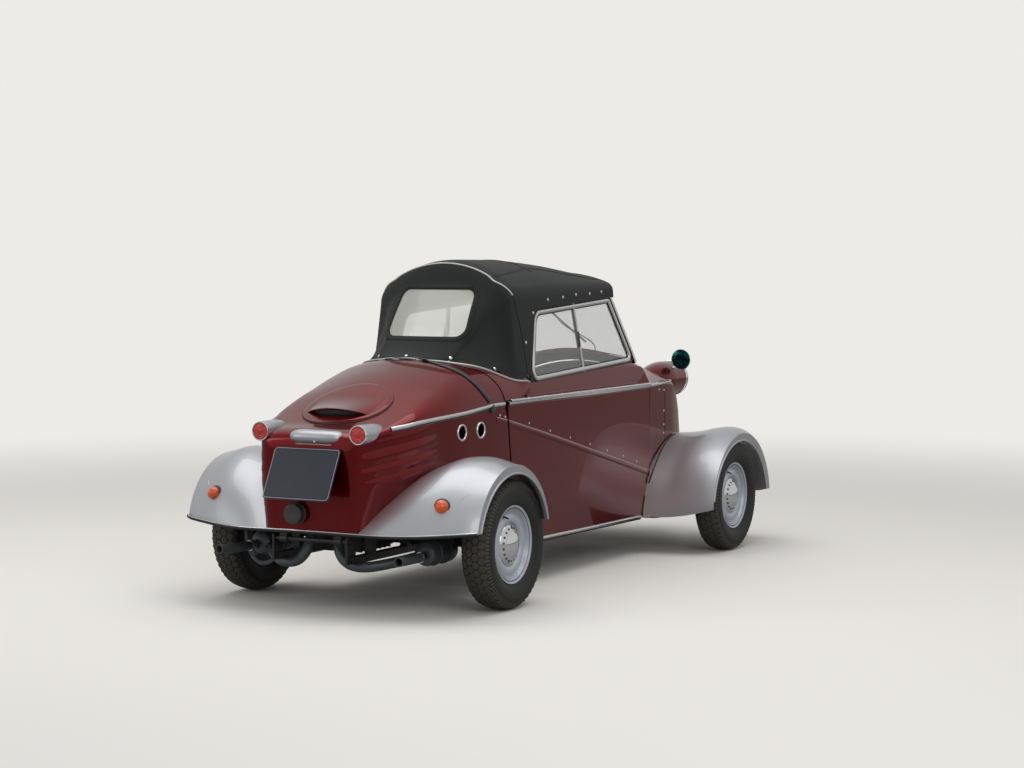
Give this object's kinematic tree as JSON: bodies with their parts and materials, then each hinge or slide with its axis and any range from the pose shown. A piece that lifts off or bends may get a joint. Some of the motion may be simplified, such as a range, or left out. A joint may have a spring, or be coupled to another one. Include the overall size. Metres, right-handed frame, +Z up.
{
  "type": "four-wheeled bubble car",
  "caption": "Small tandem two-seat car with a side-hinged canopy, cloth hood, separate wings and a tail cowl that tips back over a rear engine.",
  "frame": {"origin": "on the ground, under the middle of the whole length and width", "axes": "+Z up, the front points along -Y, the car's left side along +X"},
  "size_m": [1.28, 2.992, 1.228],
  "materials": {
    "body_paint": "deep metallic red under clear lacquer",
    "wing_paint": "silver metallic lacquer",
    "floor_paint": "satin black underbody coating",
    "tyre_rubber": "black block tread",
    "rim_paint": "silver enamel",
    "chrome": "bright chrome",
    "frame_metal": "polished aluminium",
    "pane": "clear safety glass",
    "hood_cloth": "black woven cloth",
    "vinyl_window": "clear flexible vinyl",
    "seat_cover": "beige and grey upholstery",
    "red_lens": "red lens in a silver housing",
    "amber_lens": "amber lens",
    "plate_dark": "plain dark plate",
    "dark_plastic": "dark grey moulding",
    "exhaust_steel": "dull dark grey heat paint",
    "axle_steel": "black chassis paint",
    "engine_metal": "plain block",
    "mirror_face": "silvered glass in a chrome shell"
  },
  "bodies": {
    "chassis": {"floor_pan": "floor_paint", "side_panels": "body_paint", "rear_bulkhead": "floor_paint", "nose": "body_paint", "front_wings": "wing_paint", "headlamps": "body_paint", "headlamp_lenses": "pane", "mirror": "mirror_face", "driver_seat": "seat_cover", "rear_seat": "seat_cover", "dashboard": "floor_paint", "steering_column": "axle_steel", "engine": "engine_metal", "exhaust": "exhaust_steel", "front_axle": "axle_steel", "rear_axle": "axle_steel", "rear_frame": "axle_steel", "canopy_hinge_fixed": "frame_metal"},
    "canopy": {"canopy_frame": "body_paint", "window_frames": "frame_metal", "side_windows": "pane", "windscreen": "pane", "soft_top": "hood_cloth", "rear_window": "vinyl_window", "canopy_hinge_moving": "frame_metal"},
    "tail": {"tail_cowl": "body_paint", "rear_wings": "wing_paint", "tail_lamps": "red_lens", "rear_indicators": "amber_lens", "plate_lamp": "wing_paint", "number_plate": "plate_dark", "trailer_socket": "dark_plastic", "tail_hinges": "axle_steel"},
    "engine_hatch": {"engine_lid": "body_paint"},
    "upright_left": {"knuckle_left": "axle_steel"},
    "upright_right": {"knuckle_right": "axle_steel"},
    "steering": {"steering_bar": "dark_plastic"},
    "wheel_front_left": {"tyre_front_left": "tyre_rubber", "rim_front_left": "rim_paint", "hub_cap_front_left": "chrome"},
    "wheel_front_right": {"tyre_front_right": "tyre_rubber", "rim_front_right": "rim_paint", "hub_cap_front_right": "chrome"},
    "wheel_rear_left": {"tyre_rear_left": "tyre_rubber", "rim_rear_left": "rim_paint", "hub_cap_rear_left": "chrome"},
    "wheel_rear_right": {"tyre_rear_right": "tyre_rubber", "rim_rear_right": "rim_paint", "hub_cap_rear_right": "chrome"}
  },
  "joints": [
    {"name": "steer_left", "type": "hinge", "parent": "chassis", "child": "upright_left", "pos_m": [0.513, -0.928, 0.231], "axis": [0, 0, 1], "range_deg": [-26, 26]},
    {"name": "spin_front_left", "type": "hinge", "parent": "upright_left", "child": "wheel_front_left", "pos_m": [0.575, -0.928, 0.231], "axis": [1, 0, 0], "continuous": true},
    {"name": "spin_rear_left", "type": "hinge", "parent": "chassis", "child": "wheel_rear_left", "pos_m": [0.5225, 0.96, 0.231], "axis": [1, 0, 0], "continuous": true},
    {"name": "steer_right", "type": "hinge", "parent": "chassis", "child": "upright_right", "pos_m": [-0.513, -0.928, 0.231], "axis": [0, 0, 1], "range_deg": [-26, 26]},
    {"name": "spin_front_right", "type": "hinge", "parent": "upright_right", "child": "wheel_front_right", "pos_m": [-0.575, -0.928, 0.231], "axis": [1, 0, 0], "continuous": true},
    {"name": "spin_rear_right", "type": "hinge", "parent": "chassis", "child": "wheel_rear_right", "pos_m": [-0.5225, 0.96, 0.231], "axis": [1, 0, 0], "continuous": true},
    {"name": "turn_steering_bar", "type": "hinge", "parent": "chassis", "child": "steering", "pos_m": [0, -0.442, 0.7], "axis": [0, 0.3556, 0.9346], "range_deg": [-26, 26]},
    {"name": "open_canopy", "type": "hinge", "parent": "chassis", "child": "canopy", "pos_m": [-0.338, 0, 0.707], "axis": [0, -1, 0], "range_deg": [0, 80]},
    {"name": "open_tail", "type": "hinge", "parent": "chassis", "child": "tail", "pos_m": [0, 1.39, 0.262], "axis": [-1, 0, 0], "range_deg": [0, 60]},
    {"name": "open_engine_lid", "type": "hinge", "parent": "tail", "child": "engine_hatch", "pos_m": [0, 0.955, 0.763], "axis": [1, 0, 0], "range_deg": [0, 50]}
  ],
  "couplings": [
    {"joint": "steer_right", "follows": "steer_left", "ratio": 1},
    {"joint": "turn_steering_bar", "follows": "steer_left", "ratio": 1}
  ]
}
